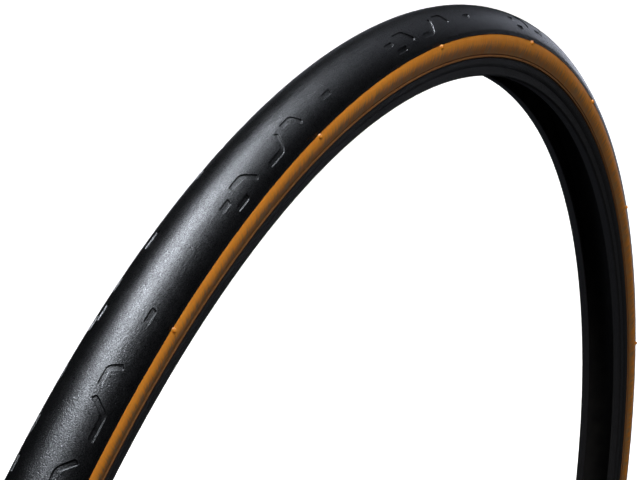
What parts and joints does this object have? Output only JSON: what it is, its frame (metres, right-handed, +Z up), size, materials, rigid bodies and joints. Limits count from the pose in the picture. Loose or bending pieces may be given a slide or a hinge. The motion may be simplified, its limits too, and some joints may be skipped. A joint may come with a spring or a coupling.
{
  "type": "bicycle tyre",
  "caption": "Tan-wall road bicycle tyre with slick black tread, shallow shoulder figures and folding beads, in its inflated, mounted shape.",
  "frame": {"origin": "the wheel's centre: on the axle line, in the tyre's middle plane", "axes": "+Y along the wheel's axle towards the bicycle's left side, +X forward, +Z up"},
  "size_m": [0.672, 0.0252, 0.672],
  "materials": {
    "tread_rubber": "matt moulded tread rubber with a fine grain",
    "base_rubber": "matt cushion rubber",
    "breaker_cloth": "woven puncture-resistant cloth",
    "casing_cloth": "bias-cut rubberised cord cloth",
    "liner_rubber": "smooth airtight rubber",
    "tan_rubber": "satin amber-tan sidewall rubber",
    "aramid_cord": "bundled aramid fibre",
    "chafer_cloth": "black rubberised chafer cloth"
  },
  "bodies": {
    "root": {"tread_cap": "tread_rubber", "tread_base": "base_rubber", "puncture_breaker": "breaker_cloth", "casing_ply_outer": "casing_cloth", "casing_ply_inner": "casing_cloth", "air_liner": "liner_rubber", "sidewall_left": "tan_rubber", "sidewall_right": "tan_rubber", "bead_core_left": "aramid_cord", "bead_core_right": "aramid_cord", "bead_filler_left": "base_rubber", "bead_filler_right": "base_rubber", "chafer_left": "chafer_cloth", "chafer_right": "chafer_cloth"}
  },
  "joints": []
}
